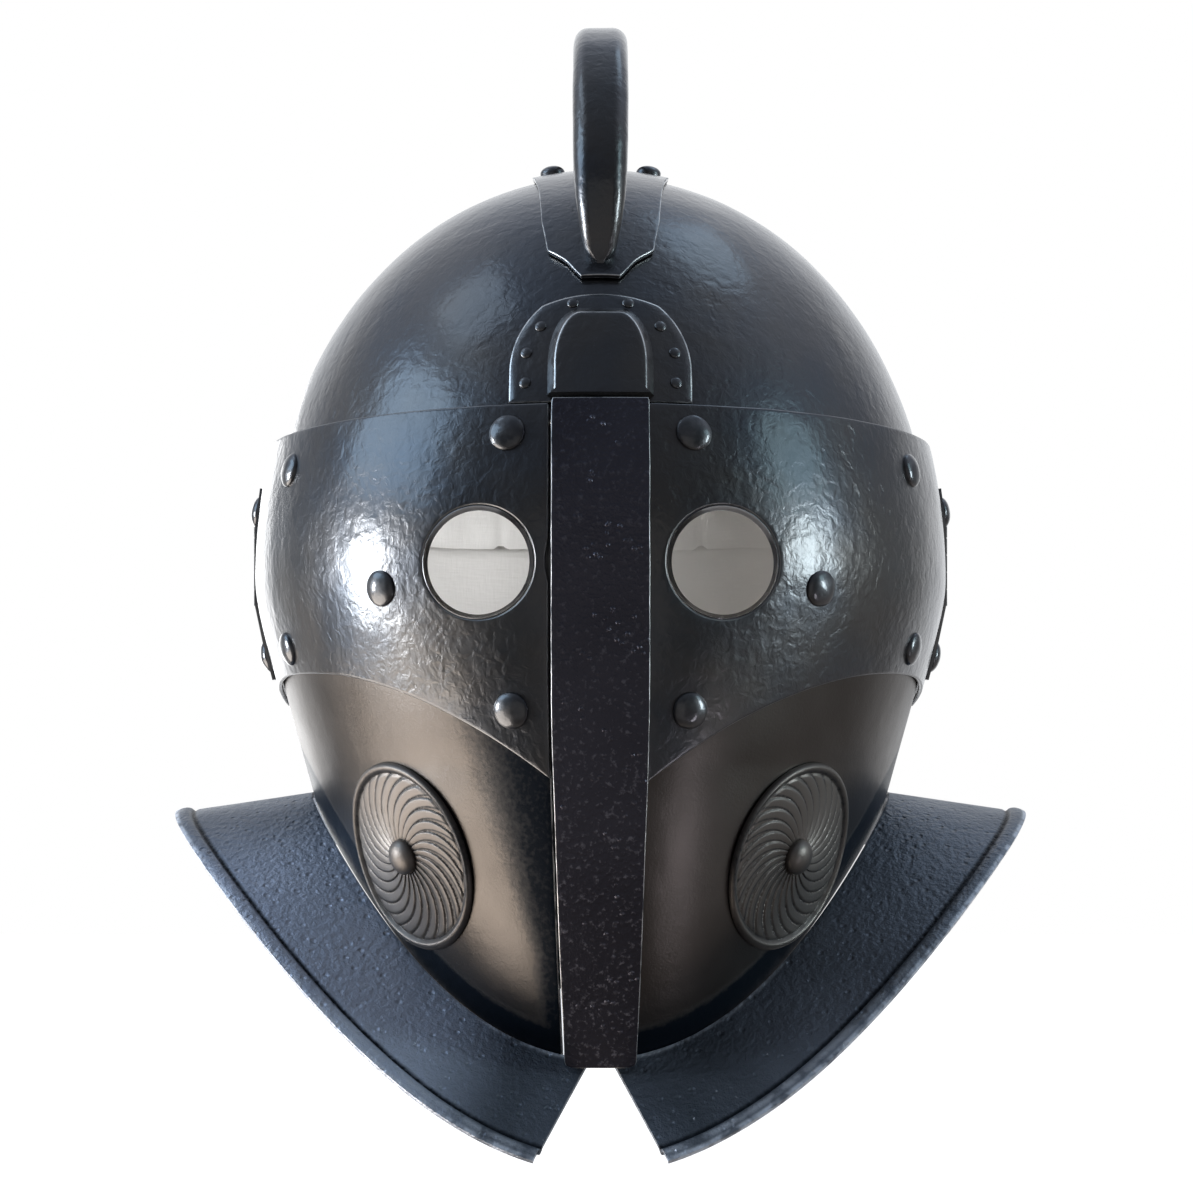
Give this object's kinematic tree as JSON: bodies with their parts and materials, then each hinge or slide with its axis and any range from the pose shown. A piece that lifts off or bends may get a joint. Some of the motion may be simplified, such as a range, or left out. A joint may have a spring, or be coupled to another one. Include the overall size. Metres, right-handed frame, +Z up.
{
  "type": "helmet",
  "caption": "Closed gladiator-style helmet in dark steel: riveted bowl with loop crest, two hinged face halves with round eye holes, flared split collar, neck guard and padded lining.",
  "frame": {"origin": "middle of the head cavity, on the wearer's eye line, half way between the temples", "axes": "+Z up, -Y the way the wearer faces, +X the wearer's left"},
  "size_m": [0.294, 0.3052, 0.3606],
  "materials": {
    "hammered_steel": "blackened, hammered, glossy oiled surface with worn bright edges",
    "satin_steel": "blackened, smooth satin",
    "grained_steel": "blackened, fine pitted grain",
    "rivet_steel": "blackened, domed and polished by wear",
    "bare_steel": "bare oiled steel",
    "quilted_linen": "undyed quilted linen"
  },
  "bodies": {
    "bowl": {"skull_bowl": "hammered_steel", "neck_guard": "grained_steel", "brow_plate": "hammered_steel", "brow_tongue": "grained_steel", "crest_saddle": "hammered_steel", "crest_arch": "hammered_steel", "crest_rivet_1": "rivet_steel", "crest_rivet_2": "rivet_steel", "crest_rivet_3": "rivet_steel", "crest_rivet_4": "rivet_steel", "brow_rivet_1": "rivet_steel", "brow_rivet_2": "rivet_steel", "brow_rivet_3": "rivet_steel", "brow_rivet_4": "rivet_steel", "brow_rivet_5": "rivet_steel", "brow_rivet_6": "rivet_steel", "brow_rivet_7": "rivet_steel", "brow_rivet_8": "rivet_steel", "neck_rivet_1": "rivet_steel", "neck_rivet_2": "rivet_steel", "neck_rivet_3": "rivet_steel", "left_hinge_fixed_leaf": "bare_steel", "right_hinge_fixed_leaf": "bare_steel", "left_hinge_pin": "bare_steel", "right_hinge_pin": "bare_steel", "left_leaf_rivet_1": "rivet_steel", "left_leaf_rivet_2": "rivet_steel", "right_leaf_rivet_1": "rivet_steel", "right_leaf_rivet_2": "rivet_steel", "liner_cap": "quilted_linen", "nape_pad": "quilted_linen"},
    "left_door": {"left_face_plate": "satin_steel", "left_visor_plate": "hammered_steel", "left_collar": "grained_steel", "left_rosette": "satin_steel", "left_rosette_boss": "rivet_steel", "left_hinge_moving_leaf": "bare_steel", "left_visor_rivet_1": "rivet_steel", "left_visor_rivet_2": "rivet_steel", "left_visor_rivet_3": "rivet_steel", "left_visor_rivet_4": "rivet_steel", "left_visor_rivet_5": "rivet_steel", "left_visor_rivet_6": "rivet_steel", "left_visor_rivet_7": "rivet_steel", "centre_bar": "grained_steel", "catch_fork": "bare_steel"},
    "right_door": {"right_face_plate": "satin_steel", "right_visor_plate": "hammered_steel", "right_collar": "grained_steel", "right_rosette": "satin_steel", "right_rosette_boss": "rivet_steel", "right_hinge_moving_leaf": "bare_steel", "right_visor_rivet_1": "rivet_steel", "right_visor_rivet_2": "rivet_steel", "right_visor_rivet_3": "rivet_steel", "right_visor_rivet_4": "rivet_steel", "right_visor_rivet_5": "rivet_steel", "right_visor_rivet_6": "rivet_steel", "right_visor_rivet_7": "rivet_steel", "catch_tongue": "bare_steel"}
  },
  "joints": [
    {"name": "left_face_hinge", "type": "hinge", "parent": "bowl", "child": "left_door", "pos_m": [0.119, 0.011, 0.007], "axis": [0, 0, 1], "range_deg": [0, 100]},
    {"name": "right_face_hinge", "type": "hinge", "parent": "bowl", "child": "right_door", "pos_m": [-0.119, 0.011, 0.007], "axis": [0, 0, -1], "range_deg": [0, 100]}
  ]
}
